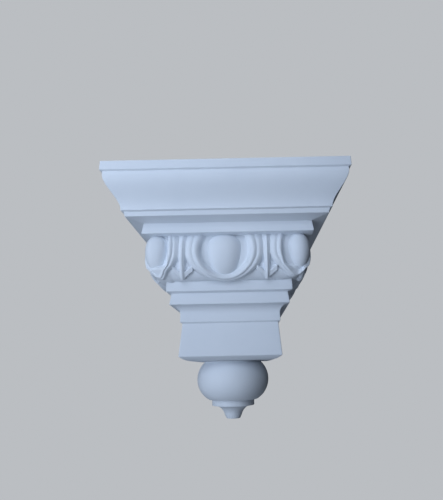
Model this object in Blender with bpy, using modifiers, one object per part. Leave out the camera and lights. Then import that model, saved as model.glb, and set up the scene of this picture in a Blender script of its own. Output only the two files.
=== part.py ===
"""A wall bracket shaped like a capital: stacked mouldings with an egg-and-dart band, over a turned drop.

Metres, +Z up. The wall is the plane y = 0, the front faces -Y, and the origin is the middle of the wall
mount. Every moulding runs round the front and both returns at the same projection.
"""
import math

import bmesh
import bpy

# Plan of the block that everything projects from
DIE_WIDTH = 0.140
DIE_DEPTH = 0.140
MOUNT_DROP = 0.100
WALL_ALLOWANCE = 0.008
BAND_ALLOWANCE = 0.005

# How far each moulding stands out from the foot of the die
CROWN_OUT = 0.090
CYMA_TOP_OUT = 0.0872
CYMA_FOOT_OUT = 0.0675
FILLET_OUT = 0.0645
SOFFIT_OUT = 0.0630
BED_FILLET_OUT = 0.0438
BED_FILLET_FLARE = 0.0017
UPPER_FASCIA_OUT = 0.0163
LOWER_FASCIA_OUT = 0.0103
LOWER_FASCIA_FLARE = 0.0019
CAVETTO_OUT = 0.0110
NECK_OUT = -0.0007
DIE_TOP_OUT = -0.0035

# Heights of the mouldings, from the top down
CROWN_HEIGHT = 0.0120
CROWN_UNDERCUT = 0.0013
CYMA_LIP = 0.0032
CYMA_HEIGHT = 0.0415
FILLET_UNDERCUT = 0.0012
FILLET_HEIGHT = 0.0058
SOFFIT_FALL = 0.0022
BED_FILLET_HEIGHT = 0.0152
BED_UNDERCUT = 0.0008
BAND_HEIGHT = 0.0671
UPPER_FASCIA_HEIGHT = 0.0062
UPPER_FASCIA_UNDERCUT = 0.0016
LOWER_FASCIA_HEIGHT = 0.0157
CAVETTO_LEDGE = 0.0006
NECK_HEIGHT = 0.0102
NECK_UNDERCUT = 0.0020
DIE_HEIGHT = 0.0444
FOOT_RADIUS = 0.0104
FOOT_START_ANGLE = math.radians(25)

# Egg-and-dart band: the envelope is the tops of the carving, the ground is what it is cut down to
BAND_OUT = 0.0440
BAND_UPRIGHT = 0.0256
BAND_TOP_SETBACK = 0.0085
RELIEF_DEPTH = 0.0150
GROUND_RISE = 0.0100
BAND_ROOT = 0.0010
BAND_TENON = 0.0020
BAND_EMBED = 0.0110
CORNER_ROUND = 0.0200
CORNER_FAN = 0.0450

# The pattern: egg to egg along the front, and how far it stands off the middle
PITCH_EASE = 0.0040
CARVING_SHIFT = -0.0055

# Eggs, with their levels taken from the top of the band
EGG_LEVEL = 0.0186
EGG_FRONT = 0.0425
EGG_THICKNESS = 0.0225
EGG_ABOVE = 0.0250
EGG_FOOT_GAP = 0.0031
EGG_SQUARENESS = 2.0
CORNER_EGG_FRONT = 0.0405
CORNER_EGG_HALF_WIDTH = 0.0155
CORNER_EGG_ABOVE = 0.0228
CORNER_EGG_BELOW = 0.0265
CORNER_EGG_SQUARENESS = 2.5

# Shells: each is a dished valley, an inner rim, a groove and an outer rim round an egg
SHELL_LEVEL = 0.0226
SHELL_FOOT_GAP = 0.0015
DART_ROOM = 0.0055
OUTER_RIM_WIDTH = 0.0065
INNER_RIM_WIDTH = 0.0080
VALLEY_WIDTH = 0.0102
OUTER_RIM_FOOT = 0.0028
INNER_RIM_FOOT = 0.0027
INNER_ABOVE = 0.0450
GROOVE_ABOVE = 0.0580
OUTER_ABOVE = 0.0700
SHELL_WALL = 0.0060
SHELL_EDGE = 0.0080

# The shell round a corner egg is a shallower cup, whose far rim stands just round the corner
CUP_CENTRE = -0.0140
CUP_RETURN_RIM = 0.0095
CUP_DEPTH_SHARE = 0.92
CUP_DISH_START = 0.0155
CUP_DISH_RISE = 0.0100

# Darts: a two-sided shaft over an arrow head with thick barbs
DART_HALF_WIDTH = 0.0054
DART_TIP = 0.0400
BARB_START = 0.0015
BARB_REACH = 0.0135
BARB_SLOPE = 0.81
BARB_THICKNESS = 0.0085
BARB_EDGE = 0.0040
GAP_FILL_REACH = 0.0200

# Heights of the carving, from 0 at the ground to 1 at the envelope
VALLEY_RELIEF = 0.04
VALLEY_FOOT_RELIEF = 0.14
VALLEY_FLAT_SHARE = 0.70
INNER_RIM_RELIEF = 0.80
GROOVE_RELIEF = 0.76
OUTER_RIM_RELIEF = 0.66
INNER_ROLL = 0.12
OUTER_ROLL = 0.10
CUP_DISH_RELIEF = 0.80
DART_RELIEF = 0.86
DART_FALL = 0.35
BARB_RELIEF = 0.72
FIELD_RELIEF = 0.22
GAP_RELIEF_LOW = 0.24
GAP_RELIEF_HIGH = 0.50

# Turned drop under the die
DROP_GAP = 0.0003
DROP_NECK_RADIUS = 0.0432
DROP_NECK_HEIGHT = 0.0020
BALL_RADIUS = 0.0533
BALL_SIDE_RADIUS = 0.0330
BALL_LIP = 0.0008
BALL_FOOT_STEP = 0.0046
COLLAR_RADIUS = 0.0312
COLLAR_HEIGHT = 0.0083
TIP_SCOOP_RADIUS = 0.0175
TIP_ROOT_STEP = 0.0017
TIP_FLARE_ANGLE = math.radians(15)
TIP_END_RADIUS = 0.0101
TIP_END_HEIGHT = 0.0052

# Fineness of the faceted solids
CYMA_STEPS = 14
CAVETTO_STEPS = 6
FOOT_STEPS = 4
BAND_ROWS = 20
BAND_STEP = 0.00345
EGG_SEGMENTS = 20
EGG_RINGS = 12
BALL_STEPS = 16
SCOOP_STEPS = 7
DROP_SEGMENTS = 28

HALF_DIE = DIE_WIDTH / 2
RETURN_LENGTH = DIE_DEPTH - HALF_DIE
PLASTER_COLOUR = (0.72, 0.75, 0.79, 1.0)
PLASTER_ROUGHNESS = 0.72
MERGE_DISTANCE = 0.00005


def remove_all_objects():
    for old in list(bpy.data.objects):
        bpy.data.objects.remove(old, do_unlink=True)


def new_collection(name):
    collection = bpy.data.collections.new(name)
    bpy.context.scene.collection.children.link(collection)
    return collection


def plaster(name):
    material = bpy.data.materials.new(name)
    material.use_nodes = True
    shader = material.node_tree.nodes["Principled BSDF"]
    shader.inputs["Base Color"].default_value = PLASTER_COLOUR
    shader.inputs["Roughness"].default_value = PLASTER_ROUGHNESS
    shader.inputs["Metallic"].default_value = 0.0
    return material


def add_object(name, mesh, collection):
    made = bpy.data.objects.new(name, mesh)
    collection.objects.link(made)
    return made


def mesh_from(bm, name):
    bmesh.ops.recalc_face_normals(bm, faces=bm.faces)
    mesh = bpy.data.meshes.new(name)
    bm.to_mesh(mesh)
    bm.free()
    return mesh


def loft(sections, name):
    """A closed body through closed rings of points that all have the same count."""
    bm = bmesh.new()
    rings = [[bm.verts.new(point) for point in section] for section in sections]
    for ring, following in zip(rings, rings[1:]):
        for i, corner in enumerate(ring):
            j = (i + 1) % len(ring)
            bm.faces.new((corner, ring[j], following[j], following[i]))
    bm.faces.new(rings[0])
    bm.faces.new(rings[-1])
    return mesh_from(bm, name)


def cyma(top_out, foot_out, top, height):
    """Ogee curve that starts and ends upright, as (projection, height) pairs."""
    points = []
    for i in range(CYMA_STEPS + 1):
        share = i / CYMA_STEPS
        eased = (1 - math.cos(math.pi * share)) / 2
        points.append((top_out + (foot_out - top_out) * eased, top - height * share))
    return points


def cavetto(top_out, foot_out, top):
    """Hollow quarter round, from a flat start to an upright foot."""
    radius = top_out - foot_out
    points = []
    for i in range(CAVETTO_STEPS + 1):
        angle = math.pi / 2 * i / CAVETTO_STEPS
        points.append((top_out - radius * math.sin(angle), top - radius * (1 - math.cos(angle))))
    return points


def rounded_foot(top):
    """Rounding under the die, which begins with a crisp edge."""
    centre_out = -FOOT_RADIUS * math.cos(FOOT_START_ANGLE)
    centre = top + FOOT_RADIUS * math.sin(FOOT_START_ANGLE)
    points = []
    for i in range(FOOT_STEPS + 1):
        angle = FOOT_START_ANGLE + (math.pi / 2 - FOOT_START_ANGLE) * i / FOOT_STEPS
        points.append((centre_out + FOOT_RADIUS * math.cos(angle), centre - FOOT_RADIUS * math.sin(angle)))
    return points


def band_top():
    """Height of the bed fillet's underside, which the carving comes out of."""
    return (MOUNT_DROP - CROWN_HEIGHT - CROWN_UNDERCUT - CYMA_LIP - CYMA_HEIGHT - FILLET_UNDERCUT
            - FILLET_HEIGHT - SOFFIT_FALL - BED_FILLET_HEIGHT)


def moulding_profile():
    """The stack from top to bottom, as (projection, height) pairs."""
    profile = [(CROWN_OUT, MOUNT_DROP)]
    z = MOUNT_DROP - CROWN_HEIGHT
    profile.append((CROWN_OUT, z))
    z -= CROWN_UNDERCUT
    profile.append((CYMA_TOP_OUT, z))
    z -= CYMA_LIP
    profile += cyma(CYMA_TOP_OUT, CYMA_FOOT_OUT, z, CYMA_HEIGHT)
    z -= CYMA_HEIGHT + FILLET_UNDERCUT
    profile.append((FILLET_OUT, z))
    z -= FILLET_HEIGHT
    profile.append((SOFFIT_OUT, z))
    z -= SOFFIT_FALL
    profile.append((BED_FILLET_OUT, z))
    z -= BED_FILLET_HEIGHT
    profile.append((BED_FILLET_OUT + BED_FILLET_FLARE, z))
    profile.append((UPPER_FASCIA_OUT, z + BED_UNDERCUT))
    z = band_top() - BAND_HEIGHT - UPPER_FASCIA_HEIGHT
    profile.append((UPPER_FASCIA_OUT, z))
    z -= UPPER_FASCIA_UNDERCUT
    profile.append((LOWER_FASCIA_OUT, z))
    z -= LOWER_FASCIA_HEIGHT
    profile.append((LOWER_FASCIA_OUT + LOWER_FASCIA_FLARE, z))
    z -= CAVETTO_LEDGE
    profile += cavetto(CAVETTO_OUT, NECK_OUT, z)
    z -= CAVETTO_OUT - NECK_OUT + NECK_HEIGHT
    profile.append((NECK_OUT, z))
    z -= NECK_UNDERCUT
    profile.append((DIE_TOP_OUT, z))
    z -= DIE_HEIGHT
    profile += rounded_foot(z)
    return profile


def plan_ring(out, z):
    """The four corners of the stack at one level, carried past the wall to be cut there."""
    half = HALF_DIE + out
    front = -(RETURN_LENGTH + half)
    return [(-half, WALL_ALLOWANCE, z), (-half, front, z), (half, front, z), (half, WALL_ALLOWANCE, z)]


def band_line(share, out_at_knee, setback, fall):
    """One line down the band, a swelling upright and then a quarter ellipse, as (projection, height)."""
    foot_out = UPPER_FASCIA_OUT - BAND_ROOT
    knee = band_top() - BAND_UPRIGHT
    upright_share = BAND_UPRIGHT / BAND_HEIGHT
    if share < upright_share:
        down = share / upright_share
        return out_at_knee - setback * (1 - down) ** 2, band_top() - BAND_UPRIGHT * down
    angle = math.pi / 2 * (share - upright_share) / (1 - upright_share)
    return foot_out + (out_at_knee - foot_out) * math.cos(angle), knee - fall * math.sin(angle)


def envelope_point(share):
    return band_line(share, BAND_OUT, BAND_TOP_SETBACK, BAND_HEIGHT - BAND_UPRIGHT)


def ground_point(share):
    return band_line(share, BAND_OUT - RELIEF_DEPTH, 0.0, BAND_HEIGHT - BAND_UPRIGHT - GROUND_RISE)


def carving_pitch():
    """From one egg to the next: two of these pitches nearly fill the front."""
    return HALF_DIE + BAND_OUT - PITCH_EASE


def shell_rings():
    """Half-width, depth below and height above its level of a shell's three U-shaped lines."""
    outer = carving_pitch() / 2 - DART_ROOM
    groove = outer - OUTER_RIM_WIDTH
    inner = groove - INNER_RIM_WIDTH
    outer_below = BAND_HEIGHT - SHELL_LEVEL - SHELL_FOOT_GAP
    groove_below = outer_below - OUTER_RIM_FOOT
    inner_below = groove_below - INNER_RIM_FOOT
    return ((inner, inner_below, INNER_ABOVE), (groove, groove_below, GROOVE_ABOVE),
            (outer, outer_below, OUTER_ABOVE))


def ring_distance(across, up, ring):
    """Below 1 inside a U-shaped line round an egg, 1 on it and above 1 outside."""
    half_width, below, above = ring
    return math.hypot(across / half_width, up / (above if up > 0 else below))


def blend(low, high, share):
    share = min(max(share, 0.0), 1.0)
    return low + (high - low) * share * share * (3 - 2 * share)


def between(value, start, end):
    return (value - start) / (end - start)


def shell_relief(across, up):
    """Height of the double-rimmed shell round an egg."""
    rings = shell_rings()
    inner, groove, outer = [ring_distance(across, up, ring) for ring in rings]
    wall = 1 - SHELL_WALL / rings[0][0]
    if inner < wall:
        return blend(VALLEY_RELIEF, VALLEY_FOOT_RELIEF, between(inner, VALLEY_FLAT_SHARE * wall, wall))
    if inner < 1:
        return blend(VALLEY_FOOT_RELIEF, INNER_RIM_RELIEF, between(inner, wall, 1))
    if groove < 1:
        share = (inner - 1) / ((inner - 1) + (1 - groove))
        flank = INNER_RIM_RELIEF + (GROOVE_RELIEF - INNER_RIM_RELIEF) * share
        return flank + INNER_ROLL * math.sin(math.pi * share)
    if outer < 1:
        share = (groove - 1) / ((groove - 1) + (1 - outer))
        flank = GROOVE_RELIEF + (OUTER_RIM_RELIEF - GROOVE_RELIEF) * share
        return flank + OUTER_ROLL * math.sin(math.pi * share)
    return blend(OUTER_RIM_RELIEF, 0.0, (outer - 1) * rings[2][1] / SHELL_EDGE)


def dart_relief(across, up):
    """Height of a dart and of the field that it stands in, on either side of its ridge."""
    above_tip = up + DART_TIP
    shaft = DART_RELIEF * (1 - DART_FALL * across / DART_HALF_WIDTH)
    shaft *= blend(1.0, 0.0, (across - DART_HALF_WIDTH) / BARB_EDGE)
    shaft *= blend(0.0, 1.0, above_tip / BARB_EDGE)
    under = above_tip - BARB_SLOPE * (across - BARB_START)
    within_barbs = blend(1.0, 0.0, (across - BARB_REACH) / BARB_EDGE)
    over_barb = blend(0.0, 1.0, (under - BARB_THICKNESS) / BARB_EDGE)
    barb = BARB_RELIEF * blend(0.0, 1.0, under / BARB_EDGE) * (1 - over_barb)
    gap_share = (up + GAP_FILL_REACH) / (2 * GAP_FILL_REACH)
    gap = over_barb * blend(GAP_RELIEF_LOW, GAP_RELIEF_HIGH, gap_share)
    return max(shaft, barb * within_barbs, gap * within_barbs)


def off_pattern(run):
    """Distance from the nearest shell's centre line, where shells repeat evenly from a run of 0."""
    half = carving_pitch() / 2
    return abs((run + half) % (2 * half) - half)


def front_cup_centre(side):
    """Centre line of the last shell on the front: runs are 0 at the mitre and negative on the front."""
    return carving_pitch() + side * CARVING_SHIFT - (HALF_DIE + BAND_OUT)


def from_shell(run, side):
    """Distance from a shell's centre line, drawn together across the cup at the corner."""
    inner = shell_rings()[0][0]
    front_centre = front_cup_centre(side)
    if run < front_centre - inner:
        return off_pattern(run - front_centre)
    if run > CUP_RETURN_RIM:
        return off_pattern(run - CUP_RETURN_RIM + inner)
    if run < CUP_CENTRE:
        return inner * (CUP_CENTRE - run) / (CUP_CENTRE - front_centre + inner)
    return inner * (run - CUP_CENTRE) / (CUP_RETURN_RIM - CUP_CENTRE)


def in_corner_cup(run, side):
    half = carving_pitch() / 2
    return front_cup_centre(side) - half < run < CUP_RETURN_RIM - shell_rings()[0][0] + half


def band_relief(run, side, z):
    """Carving of the band at one place."""
    across = from_shell(run, side)
    up = z - (band_top() - SHELL_LEVEL)
    in_cup = up < 0 and in_corner_cup(run, side)
    shell_up = up / CUP_DEPTH_SHARE if in_cup else up
    inner_ring, _, outer_ring = shell_rings()
    shell = shell_relief(across, shell_up)
    if ring_distance(across, shell_up, outer_ring) > 1:
        return max(shell, FIELD_RELIEF, dart_relief(carving_pitch() / 2 - across, up))
    if in_cup and ring_distance(across, shell_up, inner_ring) < 1:
        return max(shell, CUP_DISH_RELIEF * blend(0.0, 1.0, (-up - CUP_DISH_START) / CUP_DISH_RISE))
    return shell


def fanned(along, mitre):
    """Place along a face of a point that far from the corner, drawn in to where this row's mitre is."""
    full = HALF_DIE + BAND_OUT
    if along > CORNER_FAN:
        return full - along
    return mitre - along * (mitre - (full - CORNER_FAN)) / CORNER_FAN


def round_the_corner(a, b, corner):
    """Turn the square corner of a row's outline into a quarter circle, and what is inside it too."""
    centre = corner - CORNER_ROUND
    da, db = a - centre, b - centre
    if da <= 0 or db <= 0:
        return a, b
    scale = max(da, db) / math.hypot(da, db)
    return centre + da * scale, centre + db * scale


def band_section(run, side):
    """One closed ring across the band, at a run from the mitre on the side of +X or of -X."""
    points = []
    for row in range(BAND_ROWS + 1):
        share = row / BAND_ROWS
        (edge_out, edge_z), (ground_out, ground_z) = envelope_point(share), ground_point(share)
        relief = band_relief(run, side, edge_z)
        mitre_relief = band_relief(0.0, side, edge_z)
        out = HALF_DIE + ground_out + (edge_out - ground_out) * relief
        mitre = HALF_DIE + ground_out + (edge_out - ground_out) * mitre_relief
        z = ground_z + (edge_z - ground_z) * relief
        place, out = round_the_corner(fanned(abs(run), mitre), out, HALF_DIE + edge_out)
        points.append((place, out, z))
    place, out, z = points[0]
    points[0] = (place, out, z + BAND_TENON)
    inside = HALF_DIE + UPPER_FASCIA_OUT - BAND_EMBED
    points.append((fanned(abs(run), inside), inside, points[-1][2]))
    points.append((fanned(abs(run), inside), inside, points[0][2]))
    if run > 0:
        return [(side * out, -(RETURN_LENGTH + place), z) for place, out, z in points]
    return [(side * place, -(RETURN_LENGTH + out), z) for place, out, z in points]


def band_mesh():
    """The carved band round the front and both returns."""
    front_run = HALF_DIE + BAND_OUT
    return_run = front_run + RETURN_LENGTH + BAND_ALLOWANCE
    front_count = round(front_run / BAND_STEP)
    return_count = round(return_run / BAND_STEP)
    runs = [-front_run * i / front_count for i in range(front_count, 0, -1)]
    runs += [return_run * i / return_count for i in range(return_count + 1)]
    right = [band_section(run, 1) for run in runs]
    left = [band_section(run, -1) for run in reversed(runs[1:])]
    return loft(left + right, "egg_and_dart_band")


def egg_into(bm, x, y, half_width, thickness, above, below, squareness):
    """An egg with a flatter top than foot, square in plan where it turns a corner."""
    sphere = bmesh.ops.create_uvsphere(bm, u_segments=EGG_SEGMENTS, v_segments=EGG_RINGS, radius=1.0)
    level = band_top() - EGG_LEVEL
    for vert in sphere["verts"]:
        across, deep, up = vert.co
        round_length = math.hypot(across, deep)
        square_length = (abs(across) ** squareness + abs(deep) ** squareness) ** (1 / squareness)
        swell = round_length / square_length if square_length > 0 else 1.0
        vert.co = (x + across * swell * half_width, y + deep * swell * thickness,
                   level + up * (above if up > 0 else below))


def eggs_mesh():
    """Whole eggs on the front and the returns, and smaller ones on the corners."""
    bm = bmesh.new()
    inner, inner_below, _ = shell_rings()[0]
    half_width = inner - VALLEY_WIDTH
    whole = (EGG_ABOVE, SHELL_LEVEL + inner_below - EGG_FOOT_GAP - EGG_LEVEL, EGG_SQUARENESS)
    corner = (CORNER_EGG_ABOVE, CORNER_EGG_BELOW, CORNER_EGG_SQUARENESS)
    egg_centre = HALF_DIE + EGG_FRONT - EGG_THICKNESS
    corner_centre = HALF_DIE + CORNER_EGG_FRONT - CORNER_EGG_HALF_WIDTH
    return_egg_run = carving_pitch() + CUP_RETURN_RIM - inner
    egg_into(bm, CARVING_SHIFT, -(RETURN_LENGTH + egg_centre), half_width, EGG_THICKNESS, *whole)
    for side in (-1, 1):
        egg_into(bm, side * corner_centre, -(RETURN_LENGTH + corner_centre),
                 CORNER_EGG_HALF_WIDTH, CORNER_EGG_HALF_WIDTH, *corner)
        y = -(RETURN_LENGTH + HALF_DIE + BAND_OUT - return_egg_run)
        egg_into(bm, side * egg_centre, y, EGG_THICKNESS, half_width, *whole)
    return mesh_from(bm, "eggs")


def box_mesh(name, low, high):
    bm = bmesh.new()
    bmesh.ops.create_cube(bm, size=1.0)
    for vert in bm.verts:
        vert.co = [(a + b) / 2 + c * (b - a) for a, b, c in zip(low, high, vert.co)]
    return mesh_from(bm, name)


def boolean(target, operand, operation):
    modifier = target.modifiers.new(f"{operation.lower()}_{operand.name}", "BOOLEAN")
    modifier.operation = operation
    modifier.solver = "EXACT"
    modifier.object = operand
    operand.hide_render = True
    operand.display_type = "WIRE"
    weld = target.modifiers.new(f"weld_{operand.name}", "WELD")
    weld.merge_threshold = MERGE_DISTANCE


def make_bracket(parts, cutters):
    """Stack, band and eggs in one cast, cut flat at the wall."""
    stack = loft([plan_ring(out, z) for out, z in moulding_profile()], "bracket")
    bracket = add_object("bracket", stack, parts)
    bracket.data.materials.append(plaster("bracket_plaster"))
    band = add_object("egg_and_dart_band", band_mesh(), cutters)
    eggs = add_object("eggs", eggs_mesh(), cutters)
    reach = 2 * (HALF_DIE + CROWN_OUT)
    behind = box_mesh("behind_wall", (-reach, 0.0, -2 * reach), (reach, reach, 2 * reach))
    wall = add_object("behind_wall", behind, cutters)
    boolean(bracket, band, "UNION")
    boolean(bracket, eggs, "UNION")
    boolean(bracket, wall, "DIFFERENCE")
    return bracket


def drop_profile(top):
    """Outline of the drop from its top centre to its tip, as (radius, height) pairs."""
    waist = BALL_RADIUS - BALL_SIDE_RADIUS
    ball_start = math.acos((DROP_NECK_RADIUS + BALL_LIP - waist) / BALL_SIDE_RADIUS)
    ball_end = math.acos((COLLAR_RADIUS + BALL_FOOT_STEP - waist) / BALL_SIDE_RADIUS)
    points = [(0.0, top), (DROP_NECK_RADIUS, top)]
    z = top - DROP_NECK_HEIGHT
    points.append((DROP_NECK_RADIUS, z))
    centre = z - BALL_SIDE_RADIUS * math.sin(ball_start)
    for i in range(BALL_STEPS + 1):
        angle = ball_start - (ball_start + ball_end) * i / BALL_STEPS
        radius = waist + BALL_SIDE_RADIUS * math.cos(angle)
        points.append((radius, centre + BALL_SIDE_RADIUS * math.sin(angle)))
    z = centre - BALL_SIDE_RADIUS * math.sin(ball_end)
    points.append((COLLAR_RADIUS, z))
    z -= COLLAR_HEIGHT
    points.append((COLLAR_RADIUS, z))
    scoop_out = COLLAR_RADIUS - TIP_ROOT_STEP
    for i in range(SCOOP_STEPS + 1):
        angle = math.pi / 2 - (math.pi / 2 - TIP_FLARE_ANGLE) * i / SCOOP_STEPS
        radius = scoop_out - TIP_SCOOP_RADIUS * math.cos(angle)
        points.append((radius, z - TIP_SCOOP_RADIUS * (1 - math.sin(angle))))
    z = points[-1][1] - TIP_END_HEIGHT
    points += [(TIP_END_RADIUS, z), (0.0, z)]
    return points


def make_drop(parts, underside):
    """Turned drop, centred under the die."""
    profile = drop_profile(0.0)
    mesh = bpy.data.meshes.new("drop_finial")
    edges = [(i, i + 1) for i in range(len(profile) - 1)]
    mesh.from_pydata([(radius, 0.0, z) for radius, z in profile], edges, [])
    drop = add_object("drop_finial", mesh, parts)
    drop.data.materials.append(plaster("drop_plaster"))
    drop.location = (0.0, -DIE_DEPTH / 2, underside - DROP_GAP)
    screw = drop.modifiers.new("turned", "SCREW")
    screw.axis = "Z"
    screw.steps = DROP_SEGMENTS
    screw.render_steps = DROP_SEGMENTS
    screw.use_merge_vertices = True
    screw.merge_threshold = MERGE_DISTANCE
    screw.use_smooth_shade = True
    return drop


def main():
    remove_all_objects()
    parts = new_collection("capital_bracket")
    cutters = new_collection("cutters")
    make_bracket(parts, cutters)
    underside = moulding_profile()[-1][1]
    make_drop(parts, underside)


main()
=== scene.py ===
"""Looks of the capital bracket: a matt white plaster cast with carved band, and its turned drop."""
import math

import bmesh
import bpy
from mathutils import Matrix, Vector, noise


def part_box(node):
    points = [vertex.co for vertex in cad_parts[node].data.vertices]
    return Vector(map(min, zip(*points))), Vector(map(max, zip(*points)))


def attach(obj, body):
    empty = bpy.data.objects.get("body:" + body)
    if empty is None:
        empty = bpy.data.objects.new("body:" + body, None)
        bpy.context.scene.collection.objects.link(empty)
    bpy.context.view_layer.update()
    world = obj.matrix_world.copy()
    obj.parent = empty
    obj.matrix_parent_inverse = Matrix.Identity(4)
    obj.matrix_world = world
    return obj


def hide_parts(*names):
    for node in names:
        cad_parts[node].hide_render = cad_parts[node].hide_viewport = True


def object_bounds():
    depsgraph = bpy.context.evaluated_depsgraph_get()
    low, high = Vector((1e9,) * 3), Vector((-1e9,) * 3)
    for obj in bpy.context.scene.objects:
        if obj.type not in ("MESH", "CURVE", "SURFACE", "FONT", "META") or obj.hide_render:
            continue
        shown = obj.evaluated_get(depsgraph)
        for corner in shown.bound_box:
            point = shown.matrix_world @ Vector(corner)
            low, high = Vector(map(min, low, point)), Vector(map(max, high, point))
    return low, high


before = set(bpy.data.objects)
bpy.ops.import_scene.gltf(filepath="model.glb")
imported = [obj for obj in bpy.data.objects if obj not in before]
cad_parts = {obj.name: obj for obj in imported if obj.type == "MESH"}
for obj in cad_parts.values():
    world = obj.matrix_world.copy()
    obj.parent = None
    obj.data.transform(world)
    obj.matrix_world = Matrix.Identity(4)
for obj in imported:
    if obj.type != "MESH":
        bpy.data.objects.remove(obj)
cad_low, cad_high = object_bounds()

# Sizes of the cast in metres, as the solids have them, but with a flatter foot to the die
HALF_DIE = 0.070
RETURN_LENGTH = 0.070
TOP = 0.100

CROWN_OUT = 0.090
CYMA_TOP_OUT = 0.0872
CYMA_FOOT_OUT = 0.0675
FILLET_OUT = 0.0645
SOFFIT_OUT = 0.0630
BED_FILLET_OUT = 0.0438
BED_FILLET_FLARE = 0.0017
UPPER_FASCIA_OUT = 0.0163
LOWER_FASCIA_OUT = 0.0103
LOWER_FASCIA_FLARE = 0.0019
CAVETTO_OUT = 0.0110
NECK_OUT = -0.0007
DIE_TOP_OUT = -0.0035

CROWN_HEIGHT = 0.0120
CROWN_UNDERCUT = 0.0013
CYMA_LIP = 0.0032
CYMA_HEIGHT = 0.0415
FILLET_UNDERCUT = 0.0012
FILLET_HEIGHT = 0.0058
SOFFIT_FALL = 0.0022
BED_FILLET_HEIGHT = 0.0152
BED_UNDERCUT = 0.0008
BAND_HEIGHT = 0.0671
UPPER_FASCIA_HEIGHT = 0.0062
UPPER_FASCIA_UNDERCUT = 0.0016
LOWER_FASCIA_HEIGHT = 0.0157
CAVETTO_LEDGE = 0.0006
NECK_HEIGHT = 0.0102
NECK_UNDERCUT = 0.0020
DIE_HEIGHT = 0.0444
FOOT_RADIUS = 0.0256
FOOT_START_ANGLE = math.radians(50)

# The carved band, with levels taken from its top; reliefs go from 0 at the ground to 1 at the envelope.
# The two halves differ a little in width, in the foot of the corner cup and in the corner egg.
BAND_OUT = 0.0440
BAND_UPRIGHT = 0.0256
BAND_TOP_SETBACK = 0.0085
RELIEF_DEPTH = 0.0150
GROUND_RISE = 0.0118
BAND_ROOT = 0.0004
BAND_TENON = 0.0020
BAND_EMBED = 0.0110
CORNER_ROUND = 0.0200
CORNER_FAN = 0.0450
CARVING_SHIFT = -0.0055
RIGHT_CARVING_SHIFT = -0.0032
LEFT_STRETCH = 0.022
PITCH_EASE = 0.0040

EGG_LEVEL = 0.0186
EGG_FRONT = 0.0425
EGG_THICKNESS = 0.0205
EGG_ABOVE = 0.0250
EGG_FOOT_GAP = 0.0031
EGG_SQUARENESS = 2.3
CORNER_EGG_FRONT = 0.0415
CORNER_EGG_HALF_WIDTH = 0.0155
CORNER_EGG_ABOVE = 0.0228
CORNER_EGG_BELOW = 0.0285
LEFT_EGG_SQUARENESS = 2.5
RIGHT_EGG_SQUARENESS = 2.0

SHELL_LEVEL = 0.0226
SHELL_FOOT_GAP = 0.0015
DART_ROOM = 0.0055
OUTER_RIM_WIDTH = 0.0076
INNER_RIM_WIDTH = 0.0076
VALLEY_WIDTH = 0.0090
OUTER_RIM_FOOT = 0.0028
INNER_RIM_FOOT = 0.0027
INNER_ABOVE = 0.0450
GROOVE_ABOVE = 0.0580
OUTER_ABOVE = 0.0700
SHELL_WALL = 0.0045
SHELL_EDGE = 0.0050

CUP_CENTRE = -0.0140
CUP_RETURN_RIM = 0.0080
CUP_DEPTH_SHARE = 0.92
CUP_DISH_START = 0.0185
CUP_DISH_RISE = 0.0080

DART_HALF_WIDTH = 0.0054
DART_TAPER = 0.5
DART_LENGTH = 0.0550
DART_TIP = 0.0414
BARB_START = 0.0015
BARB_REACH = 0.0135
BARB_SLOPE = 0.81
BARB_THICKNESS = 0.0085
BARB_EDGE = 0.0012
GAP_FILL_REACH = 0.0200
FIELD_STEP_START = 0.0260
FIELD_STEP_HEIGHT = 0.0070
CORNER_FILL_REACH = 0.0250
CORNER_FILL_EDGE = 0.0120

VALLEY_RELIEF = 0.26
VALLEY_FOOT_RELIEF = 0.20
VALLEY_FLAT_SHARE = 0.76
INNER_RIM_RELIEF = 0.80
GROOVE_RELIEF = 0.76
OUTER_RIM_RELIEF = 0.66
INNER_ROLL = 0.12
OUTER_ROLL = 0.10
LEFT_DISH_RELIEF = 0.76
RIGHT_DISH_RELIEF = 0.36
DART_RELIEF = 0.86
DART_FALL = 0.35
BARB_RELIEF = 0.68
FIELD_RELIEF_HIGH = 0.30
FIELD_RELIEF_LOW = 0.38
CORNER_FILL_RELIEF = 0.52
GAP_RELIEF_LOW = 0.20
GAP_RELIEF_HIGH = 0.50

DROP_NECK_RADIUS = 0.0432
DROP_NECK_HEIGHT = 0.0020
BALL_RADIUS = 0.0533
BALL_SIDE_RADIUS = 0.0330
BALL_LIP = 0.0008
BALL_FOOT_STEP = 0.0046
COLLAR_RADIUS = 0.0312
COLLAR_HEIGHT = 0.0083
TIP_SCOOP_RADIUS = 0.0175
TIP_ROOT_STEP = 0.0017
TIP_FLARE_ANGLE = math.radians(15)
TIP_END_RADIUS = 0.0101
TIP_END_HEIGHT = 0.0052

# Softness of a cast: how far each arris is worn, and how uneven a face is
ARRIS = 0.0007
PLAN_ARRIS = 0.0009
ARRIS_STEPS = 4
ROUNDED_TURN = math.radians(12)
MOST_OF_AN_EDGE = 0.45
SHORTEST_EDGE = 1e-7
UNEVENNESS = 0.00012
UNEVEN_SCALE = 22.0
UNEVEN_OFFSET = Vector((3.7, 1.3, 2.1))
WALL_TOLERANCE = 1e-5
SHARP_ANGLE = math.radians(38)

# Fineness of the meshes
CYMA_STEPS = 44
CAVETTO_STEPS = 16
FOOT_STEPS = 12
RUN_COLUMNS = 10
BAND_ROWS = 84
BAND_STEP = 0.0010
EGG_SEGMENTS = 64
EGG_RINGS = 44
BALL_STEPS = 60
SCOOP_STEPS = 24
DROP_SEGMENTS = 128

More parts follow.
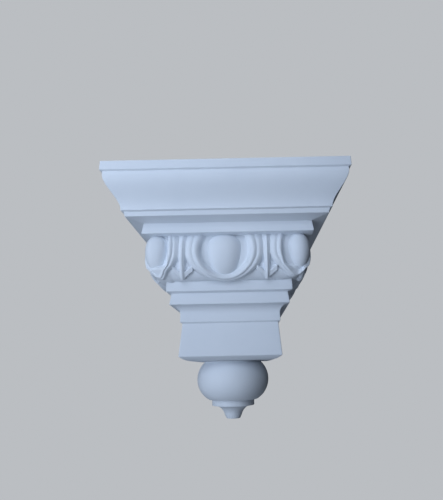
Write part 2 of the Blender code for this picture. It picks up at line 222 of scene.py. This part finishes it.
# Plaster: scales of its noises per metre, depths in metres
PLASTER_SHADE = (0.814, 0.855, 0.908, 1)
PLASTER_LIGHT = (0.861, 0.896, 0.943, 1)
MOTTLE_SCALE = 9.0
PATCH_SCALE = 40.0
TOOTH_SCALE = 260.0
TOOTH_STRENGTH = 0.10
TOOTH_DEPTH = 0.0004
SWELL_SCALE = 30.0
SWELL_STRENGTH = 0.25
SWELL_DEPTH = 0.0010
ROUGHNESS_LOW = 0.62
ROUGHNESS_HIGH = 0.80
PLASTER_SPECULAR = 0.35

# Camera, in the photograph's own pixels and in metres
PHOTO_WIDTH = 443
PHOTO_HEIGHT = 500
FOCAL_PIXELS = 350.0
PRINCIPAL_X = 248.0
PRINCIPAL_Y = 273.2
CAMERA_PITCH = math.radians(15.0)
CAMERA_ROLL = math.radians(1.2)
CAMERA_RIGHT = 0.0259
CAMERA_BACK = 0.4824
CAMERA_BELOW_TOP = 0.2571
SENSOR = 36.0

# Studio: a floor well below the bracket, soft lights to the left and in front, one for the back
FLOOR_DROP = 1.20
FLOOR_HALF_WIDTH = 3.0
FLOOR_COLOUR = (0.80, 0.81, 0.82, 1)
FLOOR_ROUGHNESS = 0.9
DIM_COLOUR = (0.80, 0.88, 1.0, 1)
DIM_STRENGTH = 0.015
BACKDROP_COLOUR = (0.80, 0.83, 0.87, 1)
BACKDROP_STRENGTH = 0.62
LIGHT_COLOUR = (0.705, 0.82, 1.0)
LIGHT_TARGET = (0, -0.1, 0)
BACK_LIGHT_TARGET = (0, 0, -0.1)


def blend(low, high, share):
    share = min(max(share, 0.0), 1.0)
    return low + (high - low) * share * share * (3 - 2 * share)


def cyma(top_out, foot_out, top, height):
    points = []
    for i in range(CYMA_STEPS + 1):
        share = i / CYMA_STEPS
        eased = (1 - math.cos(math.pi * share)) / 2
        points.append((top_out + (foot_out - top_out) * eased, top - height * share))
    return points


def cavetto(top_out, foot_out, top):
    radius = top_out - foot_out
    points = []
    for i in range(CAVETTO_STEPS + 1):
        angle = math.pi / 2 * i / CAVETTO_STEPS
        points.append((top_out - radius * math.sin(angle), top - radius * (1 - math.cos(angle))))
    return points


def rounded_foot(top):
    centre_out = -FOOT_RADIUS * math.cos(FOOT_START_ANGLE)
    centre = top + FOOT_RADIUS * math.sin(FOOT_START_ANGLE)
    points = []
    for i in range(FOOT_STEPS + 1):
        angle = FOOT_START_ANGLE + (math.pi / 2 - FOOT_START_ANGLE) * i / FOOT_STEPS
        points.append((centre_out + FOOT_RADIUS * math.cos(angle), centre - FOOT_RADIUS * math.sin(angle)))
    return points


def band_top():
    return (TOP - CROWN_HEIGHT - CROWN_UNDERCUT - CYMA_LIP - CYMA_HEIGHT - FILLET_UNDERCUT
            - FILLET_HEIGHT - SOFFIT_FALL - BED_FILLET_HEIGHT)


def moulding_profile():
    """The stack from top to bottom, as (projection, height) pairs with sharp arrises."""
    profile = [(CROWN_OUT, TOP)]
    z = TOP - CROWN_HEIGHT
    profile.append((CROWN_OUT, z))
    z -= CROWN_UNDERCUT
    profile.append((CYMA_TOP_OUT, z))
    z -= CYMA_LIP
    profile += cyma(CYMA_TOP_OUT, CYMA_FOOT_OUT, z, CYMA_HEIGHT)
    z -= CYMA_HEIGHT + FILLET_UNDERCUT
    profile.append((FILLET_OUT, z))
    z -= FILLET_HEIGHT
    profile.append((SOFFIT_OUT, z))
    z -= SOFFIT_FALL
    profile.append((BED_FILLET_OUT, z))
    z -= BED_FILLET_HEIGHT
    profile.append((BED_FILLET_OUT + BED_FILLET_FLARE, z))
    profile.append((UPPER_FASCIA_OUT, z + BED_UNDERCUT))
    z = band_top() - BAND_HEIGHT - UPPER_FASCIA_HEIGHT
    profile.append((UPPER_FASCIA_OUT, z))
    z -= UPPER_FASCIA_UNDERCUT
    profile.append((LOWER_FASCIA_OUT, z))
    z -= LOWER_FASCIA_HEIGHT
    profile.append((LOWER_FASCIA_OUT + LOWER_FASCIA_FLARE, z))
    z -= CAVETTO_LEDGE
    profile += cavetto(CAVETTO_OUT, NECK_OUT, z)
    z -= CAVETTO_OUT - NECK_OUT + NECK_HEIGHT
    profile.append((NECK_OUT, z))
    z -= NECK_UNDERCUT
    profile.append((DIE_TOP_OUT, z))
    z -= DIE_HEIGHT
    profile += rounded_foot(z)
    return profile


def soften(points, radius):
    """Round each corner of an open outline that turns by more than a few degrees."""
    out = [points[0]]
    for before, corner, after in zip(points, points[1:], points[2:]):
        a = Vector(before) - Vector(corner)
        b = Vector(after) - Vector(corner)
        if a.length < SHORTEST_EDGE or b.length < SHORTEST_EDGE:
            continue
        turn = math.pi - a.angle(b)
        if turn < ROUNDED_TURN:
            out.append(corner)
            continue
        back = min(radius * math.tan(turn / 2), MOST_OF_AN_EDGE * a.length, MOST_OF_AN_EDGE * b.length)
        start = Vector(corner) + a.normalized() * back
        end = Vector(corner) + b.normalized() * back
        for i in range(ARRIS_STEPS + 1):
            t = i / ARRIS_STEPS
            bend = start * (1 - t) ** 2 + Vector(corner) * 2 * t * (1 - t) + end * t * t
            out.append(tuple(bend))
    out.append(points[-1])
    return out


def plan_ring(out, z):
    """One level of the stack: wall, rounded mitre, front, rounded mitre, wall."""
    half = HALF_DIE + out
    front = RETURN_LENGTH + half
    ring = []
    for i in range(RUN_COLUMNS):
        ring.append((half, -(front - PLAN_ARRIS) * i / RUN_COLUMNS))
    for i in range(ARRIS_STEPS * 2 + 1):
        angle = math.pi / 2 * i / (ARRIS_STEPS * 2)
        ring.append((half - PLAN_ARRIS + PLAN_ARRIS * math.cos(angle),
                     -(front - PLAN_ARRIS + PLAN_ARRIS * math.sin(angle))))
    inner = half - PLAN_ARRIS
    for i in range(1, RUN_COLUMNS):
        ring.append((inner - inner * i / RUN_COLUMNS, -front))
    ring.append((0.0, -front))
    left = [(-x, y) for x, y in reversed(ring[:-1])]
    return [(x, y, z) for x, y in ring + left]


def loft_into(bm, sections, flat_back=False):
    """Skin closed rings; a flat back is one face between the first and last points of all the rings."""
    rings = [[bm.verts.new(point) for point in section] for section in sections]
    for ring, following in zip(rings, rings[1:]):
        for i in range(len(ring) - 1 if flat_back else len(ring)):
            j = (i + 1) % len(ring)
            bm.faces.new((ring[i], ring[j], following[j], following[i]))
    bm.faces.new(rings[0])
    bm.faces.new(rings[-1])
    if flat_back:
        bm.faces.new([ring[0] for ring in rings] + [ring[-1] for ring in reversed(rings)])


def mesh_object(name, bm):
    bmesh.ops.recalc_face_normals(bm, faces=bm.faces)
    mesh = bpy.data.meshes.new(name)
    bm.to_mesh(mesh)
    bm.free()
    made = bpy.data.objects.new(name, mesh)
    bpy.context.scene.collection.objects.link(made)
    return made


def band_line(share, out_at_knee, setback, fall):
    """One line down the band, a swelling upright and then a quarter ellipse, as (projection, height)."""
    foot_out = UPPER_FASCIA_OUT - BAND_ROOT
    knee = band_top() - BAND_UPRIGHT
    upright_share = BAND_UPRIGHT / BAND_HEIGHT
    if share < upright_share:
        down = share / upright_share
        return out_at_knee - setback * (1 - down) ** 2, band_top() - BAND_UPRIGHT * down
    angle = math.pi / 2 * (share - upright_share) / (1 - upright_share)
    return foot_out + (out_at_knee - foot_out) * math.cos(angle), knee - fall * math.sin(angle)


def envelope_point(share):
    return band_line(share, BAND_OUT, BAND_TOP_SETBACK, BAND_HEIGHT - BAND_UPRIGHT)


def ground_point(share):
    return band_line(share, BAND_OUT - RELIEF_DEPTH, 0.0, BAND_HEIGHT - BAND_UPRIGHT - GROUND_RISE)


def carving_pitch():
    """From one egg to the next: two of these pitches nearly fill the front."""
    return HALF_DIE + BAND_OUT - PITCH_EASE


def shell_rings():
    """Half-width, depth below and height above its level of a shell's three U-shaped lines."""
    outer = carving_pitch() / 2 - DART_ROOM
    groove = outer - OUTER_RIM_WIDTH
    inner = groove - INNER_RIM_WIDTH
    outer_below = BAND_HEIGHT - SHELL_LEVEL - SHELL_FOOT_GAP
    groove_below = outer_below - OUTER_RIM_FOOT
    inner_below = groove_below - INNER_RIM_FOOT
    return ((inner, inner_below, INNER_ABOVE), (groove, groove_below, GROOVE_ABOVE),
            (outer, outer_below, OUTER_ABOVE))


def ring_distance(across, up, ring):
    """Below 1 inside a U-shaped line round an egg, 1 on it and above 1 outside."""
    half_width, below, above = ring
    return math.hypot(across / half_width, up / (above if up > 0 else below))


def between(value, start, end):
    return (value - start) / (end - start)


def shell_relief(across, up):
    """Height of the double-rimmed shell round an egg."""
    rings = shell_rings()
    inner, groove, outer = [ring_distance(across, up, ring) for ring in rings]
    wall = 1 - SHELL_WALL / rings[0][0]
    if inner < wall:
        return blend(VALLEY_RELIEF, VALLEY_FOOT_RELIEF, between(inner, VALLEY_FLAT_SHARE * wall, wall))
    if inner < 1:
        return blend(VALLEY_FOOT_RELIEF, INNER_RIM_RELIEF, between(inner, wall, 1))
    if groove < 1:
        share = (inner - 1) / ((inner - 1) + (1 - groove))
        flank = INNER_RIM_RELIEF + (GROOVE_RELIEF - INNER_RIM_RELIEF) * share
        return flank + INNER_ROLL * math.sin(math.pi * share)
    if outer < 1:
        share = (groove - 1) / ((groove - 1) + (1 - outer))
        flank = GROOVE_RELIEF + (OUTER_RIM_RELIEF - GROOVE_RELIEF) * share
        return flank + OUTER_ROLL * math.sin(math.pi * share)
    return blend(OUTER_RIM_RELIEF, 0.0, (outer - 1) * rings[2][1] / SHELL_EDGE)


def dart_relief(across, up):
    """Height of a dart and of the field that it stands in, on either side of its ridge."""
    above_tip = up + DART_TIP
    half_width = DART_HALF_WIDTH * (DART_TAPER + (1 - DART_TAPER) * above_tip / DART_LENGTH)
    shaft = DART_RELIEF * (1 - DART_FALL * across / DART_HALF_WIDTH)
    shaft *= blend(1.0, 0.0, (across - half_width) / BARB_EDGE)
    shaft *= blend(0.0, 1.0, above_tip / BARB_EDGE)
    under = above_tip - BARB_SLOPE * (across - BARB_START)
    within_barbs = blend(1.0, 0.0, (across - BARB_REACH) / BARB_EDGE)
    over_barb = blend(0.0, 1.0, (under - BARB_THICKNESS) / BARB_EDGE)
    barb = BARB_RELIEF * blend(0.0, 1.0, under / BARB_EDGE) * (1 - over_barb)
    gap_share = (up + GAP_FILL_REACH) / (2 * GAP_FILL_REACH)
    gap = over_barb * blend(GAP_RELIEF_LOW, GAP_RELIEF_HIGH, gap_share)
    return max(shaft, barb * within_barbs, gap * within_barbs)


def off_pattern(run):
    """Distance from the nearest shell's centre line, where shells repeat evenly from a run of 0."""
    half = carving_pitch() / 2
    return abs((run + half) % (2 * half) - half)


def front_cup_centre(side):
    """Centre line of the last shell on the front: runs are 0 at the mitre and negative on the front."""
    shift = RIGHT_CARVING_SHIFT if side > 0 else CARVING_SHIFT
    return carving_pitch() + side * shift - (HALF_DIE + BAND_OUT)


def from_shell(run, side):
    """Distance from a shell's centre line, drawn together across the cup at the corner."""
    inner = shell_rings()[0][0]
    front_centre = front_cup_centre(side)
    if run < front_centre - inner:
        return off_pattern(run - front_centre)
    if run > CUP_RETURN_RIM:
        return off_pattern(run - CUP_RETURN_RIM + inner)
    if run < CUP_CENTRE:
        return inner * (CUP_CENTRE - run) / (CUP_CENTRE - front_centre + inner)
    return inner * (run - CUP_CENTRE) / (CUP_RETURN_RIM - CUP_CENTRE)


def in_corner_cup(run, side):
    half = carving_pitch() / 2
    return front_cup_centre(side) - half < run < CUP_RETURN_RIM - shell_rings()[0][0] + half


def band_relief(run, side, z):
    """Carving of the band at one place."""
    across = from_shell(run, side)
    up = z - (band_top() - SHELL_LEVEL)
    in_cup = up < 0 and in_corner_cup(run, side)
    shell_up = up / CUP_DEPTH_SHARE if in_cup else up
    inner_ring, _, outer_ring = shell_rings()
    shell = shell_relief(across, shell_up)
    if ring_distance(across, shell_up, outer_ring) > 1:
        field = blend(FIELD_RELIEF_HIGH, FIELD_RELIEF_LOW, (-up - FIELD_STEP_START) / FIELD_STEP_HEIGHT)
        if up < 0 and side < 0:
            field = blend(CORNER_FILL_RELIEF, field, (abs(run) - CORNER_FILL_REACH) / CORNER_FILL_EDGE)
        return max(shell, field, dart_relief(carving_pitch() / 2 - across, up))
    if in_cup and ring_distance(across, shell_up, inner_ring) < 1:
        dish = LEFT_DISH_RELIEF if side < 0 else RIGHT_DISH_RELIEF
        return max(shell, dish * blend(0.0, 1.0, (-up - CUP_DISH_START) / CUP_DISH_RISE))
    return shell


def fanned(along, mitre):
    """Place along a face of a point that far from the corner, drawn in to where this row's mitre is."""
    full = HALF_DIE + BAND_OUT
    if along > CORNER_FAN:
        return full - along
    return mitre - along * (mitre - (full - CORNER_FAN)) / CORNER_FAN


def round_the_corner(a, b, corner):
    """Turn the square corner of a row's outline into a quarter circle, and what is inside it too."""
    centre = corner - CORNER_ROUND
    da, db = a - centre, b - centre
    if da <= 0 or db <= 0:
        return a, b
    scale = max(da, db) / math.hypot(da, db)
    return centre + da * scale, centre + db * scale


def carved_point(share, relief):
    (edge_out, edge_z), (ground_out, ground_z) = envelope_point(share), ground_point(share)
    out = HALF_DIE + ground_out + (edge_out - ground_out) * relief
    return out, ground_z + (edge_z - ground_z) * relief


def band_section(run, side):
    """One closed ring across the band, at a run from the mitre on the side of +X or of -X."""
    points = []
    for row in range(BAND_ROWS + 1):
        share = row / BAND_ROWS
        edge_out, edge_z = envelope_point(share)
        out, z = carved_point(share, band_relief(run, side, edge_z))
        mitre, _ = carved_point(share, band_relief(0.0, side, edge_z))
        place, out = round_the_corner(fanned(abs(run), mitre), out, HALF_DIE + edge_out)
        points.append((place, out, z))
    place, out, z = points[0]
    points[0] = (place, out, z + BAND_TENON)
    inside = HALF_DIE + UPPER_FASCIA_OUT - BAND_EMBED
    points.append((fanned(abs(run), inside), inside, points[-1][2]))
    points.append((fanned(abs(run), inside), inside, points[0][2]))
    across = side if side > 0 else side * (1 + LEFT_STRETCH)
    if run > 0:
        return [(across * out, -(RETURN_LENGTH + place), z) for place, out, z in points]
    return [(across * place, -(RETURN_LENGTH + out), z) for place, out, z in points]


def make_band():
    """The carved band round the front and both returns, ended flush with the wall."""
    front_run = HALF_DIE + BAND_OUT
    return_run = front_run + RETURN_LENGTH
    front_count = round(front_run / BAND_STEP)
    return_count = round(return_run / BAND_STEP)
    runs = [-front_run * i / front_count for i in range(front_count, 0, -1)]
    runs += [return_run * i / return_count for i in range(return_count + 1)]
    right = [band_section(run, 1) for run in runs]
    left = [band_section(run, -1) for run in reversed(runs[1:])]
    bm = bmesh.new()
    loft_into(bm, left + right)
    return mesh_object("band", bm)


def egg_into(bm, x, y, half_width, thickness, above, below, squareness):
    sphere = bmesh.ops.create_uvsphere(bm, u_segments=EGG_SEGMENTS, v_segments=EGG_RINGS, radius=1.0)
    level = band_top() - EGG_LEVEL
    for vert in sphere["verts"]:
        across, deep, up = vert.co
        round_length = math.hypot(across, deep)
        square_length = (abs(across) ** squareness + abs(deep) ** squareness) ** (1 / squareness)
        swell = round_length / square_length if square_length > 0 else 1.0
        vert.co = (x + across * swell * half_width, y + deep * swell * thickness,
                   level + up * (above if up > 0 else below))


def make_eggs():
    bm = bmesh.new()
    inner, inner_below, _ = shell_rings()[0]
    half_width = inner - VALLEY_WIDTH
    whole = (EGG_ABOVE, SHELL_LEVEL + inner_below - EGG_FOOT_GAP - EGG_LEVEL, EGG_SQUARENESS)
    egg_centre = HALF_DIE + EGG_FRONT - EGG_THICKNESS
    corner_centre = HALF_DIE + CORNER_EGG_FRONT - CORNER_EGG_HALF_WIDTH
    return_egg_run = carving_pitch() + CUP_RETURN_RIM - inner
    egg_into(bm, CARVING_SHIFT, -(RETURN_LENGTH + egg_centre), half_width, EGG_THICKNESS, *whole)
    for side in (-1 - LEFT_STRETCH, 1):
        squareness = LEFT_EGG_SQUARENESS if side < 0 else RIGHT_EGG_SQUARENESS
        egg_into(bm, side * corner_centre, -(RETURN_LENGTH + corner_centre), CORNER_EGG_HALF_WIDTH,
                 CORNER_EGG_HALF_WIDTH, CORNER_EGG_ABOVE, CORNER_EGG_BELOW, squareness)
        y = -(RETURN_LENGTH + HALF_DIE + BAND_OUT - return_egg_run)
        egg_into(bm, side * egg_centre, y, EGG_THICKNESS, half_width, *whole)
    return mesh_object("eggs", bm)


def join_solids(target, *operands):
    """Merge overlapping closed meshes into one skin."""
    for operand in operands:
        union = target.modifiers.new(operand.name, "BOOLEAN")
        union.operation = "UNION"
        union.solver = "MANIFOLD"
        union.object = operand
    evaluated = target.evaluated_get(bpy.context.evaluated_depsgraph_get())
    merged = bpy.data.meshes.new_from_object(evaluated)
    target.modifiers.clear()
    target.data = merged
    for operand in operands:
        bpy.data.objects.remove(operand, do_unlink=True)


def make_uneven(piece, seed):
    """Move each point a hair along its normal, as a hand-finished cast does, but not out of the box."""
    low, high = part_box("bracket")
    offset = seed * UNEVEN_OFFSET
    mesh = piece.data
    normals = [vert.normal.copy() for vert in mesh.vertices]
    for vert, normal in zip(mesh.vertices, normals):
        if abs(vert.co.y) < WALL_TOLERANCE:
            continue
        moved = vert.co + normal * UNEVENNESS * noise.noise(vert.co * UNEVEN_SCALE + offset)
        vert.co = [min(max(place, least), most) for place, least, most in zip(moved, low, high)]


def shade(piece):
    piece.data.shade_smooth()
    piece.data.set_sharp_from_angle(angle=SHARP_ANGLE)


def noise_node(tree, place, scale, detail):
    made = tree.nodes.new("ShaderNodeTexNoise")
    made.inputs["Scale"].default_value = scale
    made.inputs["Detail"].default_value = detail
    tree.links.new(place.outputs["Object"], made.inputs["Vector"])
    return made


def bump_node(tree, height, strength, distance):
    made = tree.nodes.new("ShaderNodeBump")
    made.inputs["Strength"].default_value = strength
    made.inputs["Distance"].default_value = distance
    tree.links.new(height.outputs["Fac"], made.inputs["Height"])
    return made


def plaster_material(name):
    """Matt white plaster: faint mottling, a sheen that varies, a fine tooth and a slow swell."""
    material = bpy.data.materials.new(name)
    material.use_nodes = True
    tree = material.node_tree
    nodes, links = tree.nodes, tree.links
    shader = nodes["Principled BSDF"]
    place = nodes.new("ShaderNodeTexCoord")

    mottle = noise_node(tree, place, MOTTLE_SCALE, 5.0)
    mottle.inputs["Roughness"].default_value = 0.6
    tint = nodes.new("ShaderNodeValToRGB")
    tint.color_ramp.elements[0].position = 0.3
    tint.color_ramp.elements[0].color = PLASTER_SHADE
    tint.color_ramp.elements[1].position = 0.7
    tint.color_ramp.elements[1].color = PLASTER_LIGHT
    links.new(mottle.outputs["Fac"], tint.inputs["Fac"])
    links.new(tint.outputs["Color"], shader.inputs["Base Color"])

    patch = noise_node(tree, place, PATCH_SCALE, 3.0)
    sheen = nodes.new("ShaderNodeMapRange")
    sheen.inputs["To Min"].default_value = ROUGHNESS_LOW
    sheen.inputs["To Max"].default_value = ROUGHNESS_HIGH
    links.new(patch.outputs["Fac"], sheen.inputs["Value"])
    links.new(sheen.outputs["Result"], shader.inputs["Roughness"])
    shader.inputs["Specular IOR Level"].default_value = PLASTER_SPECULAR

    fine = bump_node(tree, noise_node(tree, place, TOOTH_SCALE, 4.0), TOOTH_STRENGTH, TOOTH_DEPTH)
    broad = bump_node(tree, noise_node(tree, place, SWELL_SCALE, 2.0), SWELL_STRENGTH, SWELL_DEPTH)
    links.new(fine.outputs["Normal"], broad.inputs["Normal"])
    links.new(broad.outputs["Normal"], shader.inputs["Normal"])
    return material


def make_bracket():
    profile = soften(moulding_profile(), ARRIS)
    bm = bmesh.new()
    loft_into(bm, [plan_ring(out, z) for out, z in profile], flat_back=True)
    bracket = mesh_object("bracket_cast", bm)
    join_solids(bracket, make_band(), make_eggs())
    make_uneven(bracket, 1)
    shade(bracket)
    bracket.data.materials.clear()
    bracket.data.materials.append(plaster_material("white_plaster"))
    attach(bracket, "root")
    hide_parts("bracket")
    return bracket


def drop_profile(top):
    waist = BALL_RADIUS - BALL_SIDE_RADIUS
    ball_start = math.acos((DROP_NECK_RADIUS + BALL_LIP - waist) / BALL_SIDE_RADIUS)
    ball_end = math.acos((COLLAR_RADIUS + BALL_FOOT_STEP - waist) / BALL_SIDE_RADIUS)
    points = [(0.0, top), (DROP_NECK_RADIUS, top)]
    z = top - DROP_NECK_HEIGHT
    points.append((DROP_NECK_RADIUS, z))
    centre = z - BALL_SIDE_RADIUS * math.sin(ball_start)
    for i in range(BALL_STEPS + 1):
        angle = ball_start - (ball_start + ball_end) * i / BALL_STEPS
        radius = waist + BALL_SIDE_RADIUS * math.cos(angle)
        points.append((radius, centre + BALL_SIDE_RADIUS * math.sin(angle)))
    z = centre - BALL_SIDE_RADIUS * math.sin(ball_end)
    points.append((COLLAR_RADIUS, z))
    z -= COLLAR_HEIGHT
    points.append((COLLAR_RADIUS, z))
    scoop_out = COLLAR_RADIUS - TIP_ROOT_STEP
    for i in range(SCOOP_STEPS + 1):
        angle = math.pi / 2 - (math.pi / 2 - TIP_FLARE_ANGLE) * i / SCOOP_STEPS
        radius = scoop_out - TIP_SCOOP_RADIUS * math.cos(angle)
        points.append((radius, z - TIP_SCOOP_RADIUS * (1 - math.sin(angle))))
    z = points[-1][1] - TIP_END_HEIGHT
    points += [(TIP_END_RADIUS, z), (0.0, z)]
    return points


def make_drop():
    low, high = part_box("drop_finial")
    axis_y = (low.y + high.y) / 2
    profile = soften(drop_profile(high.z), ARRIS)
    bm = bmesh.new()
    rings = []
    for i in range(DROP_SEGMENTS):
        angle = 2 * math.pi * i / DROP_SEGMENTS
        rings.append([bm.verts.new((r * math.cos(angle), axis_y + r * math.sin(angle), z))
                      for r, z in profile[1:-1]])
    for here, after in zip(rings, rings[1:] + rings[:1]):
        for i in range(len(here) - 1):
            bm.faces.new((here[i], after[i], after[i + 1], here[i + 1]))
    bm.faces.new([ring[0] for ring in rings])
    bm.faces.new([ring[-1] for ring in rings])
    drop = mesh_object("turned_drop", bm)
    shade(drop)
    drop.data.materials.append(plaster_material("white_plaster_drop"))
    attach(drop, "root")
    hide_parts("drop_finial")
    return drop


def make_camera():
    data = bpy.data.cameras.new("camera")
    data.sensor_fit = "HORIZONTAL"
    data.sensor_width = SENSOR
    data.lens = FOCAL_PIXELS / PHOTO_WIDTH * SENSOR
    data.shift_x = (PHOTO_WIDTH / 2 - PRINCIPAL_X) / PHOTO_WIDTH
    data.shift_y = (PRINCIPAL_Y - PHOTO_HEIGHT / 2) / PHOTO_WIDTH
    camera = bpy.data.objects.new("camera", data)
    bpy.context.scene.collection.objects.link(camera)
    place = Vector((CAMERA_RIGHT, -(RETURN_LENGTH + HALF_DIE) - CAMERA_BACK, TOP - CAMERA_BELOW_TOP))
    look = Matrix.Rotation(math.pi / 2 + CAMERA_PITCH, 4, "X") @ Matrix.Rotation(-CAMERA_ROLL, 4, "Z")
    camera.matrix_world = Matrix.Translation(place) @ look
    bpy.context.scene.camera = camera


def area_light(name, place, target, size, power):
    """A square soft light of that side in metres and that power in watts."""
    data = bpy.data.lights.new(name, "AREA")
    data.shape = "SQUARE"
    data.size = size
    data.energy = power
    data.color = LIGHT_COLOUR
    light = bpy.data.objects.new(name, data)
    light.location = place
    light.rotation_euler = (Vector(target) - Vector(place)).to_track_quat("-Z", "Y").to_euler()
    bpy.context.scene.collection.objects.link(light)


def make_studio():
    bm = bmesh.new()
    bmesh.ops.create_grid(bm, x_segments=1, y_segments=1, size=FLOOR_HALF_WIDTH)
    floor = mesh_object("floor", bm)
    floor.location.z = cad_low[2] - FLOOR_DROP
    material = bpy.data.materials.new("pale_floor")
    material.use_nodes = True
    shader = material.node_tree.nodes["Principled BSDF"]
    shader.inputs["Base Color"].default_value = FLOOR_COLOUR
    shader.inputs["Roughness"].default_value = FLOOR_ROUGHNESS
    floor.data.materials.append(material)
    world = bpy.data.worlds.new("studio")
    bpy.context.scene.world = world
    world.use_nodes = True
    nodes, links = world.node_tree.nodes, world.node_tree.links
    dim = nodes["Background"]
    dim.inputs["Color"].default_value = DIM_COLOUR
    dim.inputs["Strength"].default_value = DIM_STRENGTH
    backdrop = nodes.new("ShaderNodeBackground")
    backdrop.inputs["Color"].default_value = BACKDROP_COLOUR
    backdrop.inputs["Strength"].default_value = BACKDROP_STRENGTH
    seen = nodes.new("ShaderNodeLightPath")
    mix = nodes.new("ShaderNodeMixShader")
    links.new(seen.outputs["Is Camera Ray"], mix.inputs["Fac"])
    links.new(dim.outputs["Background"], mix.inputs[1])
    links.new(backdrop.outputs["Background"], mix.inputs[2])
    links.new(mix.outputs["Shader"], nodes["World Output"].inputs["Surface"])
    area_light("left", (-0.45, -0.80, 0.05), LIGHT_TARGET, 0.4, 0.71)
    area_light("front", (-0.10, -0.85, 0.15), LIGHT_TARGET, 0.4, 1.43)
    area_light("low", (-0.35, -0.75, -0.40), LIGHT_TARGET, 0.4, 0.89)
    area_light("top", (-0.15, -0.70, 0.45), LIGHT_TARGET, 0.5, 0.89)
    area_light("far_left", (-1.3, -1.0, -0.5), LIGHT_TARGET, 0.8, 6.6)
    area_light("back", (0.0, 1.30, 0.70), BACK_LIGHT_TARGET, 1.2, 14.0)
    bpy.context.scene.view_settings.view_transform = "Standard"


make_bracket()
make_drop()
make_camera()
make_studio()

bpy.context.view_layer.update()
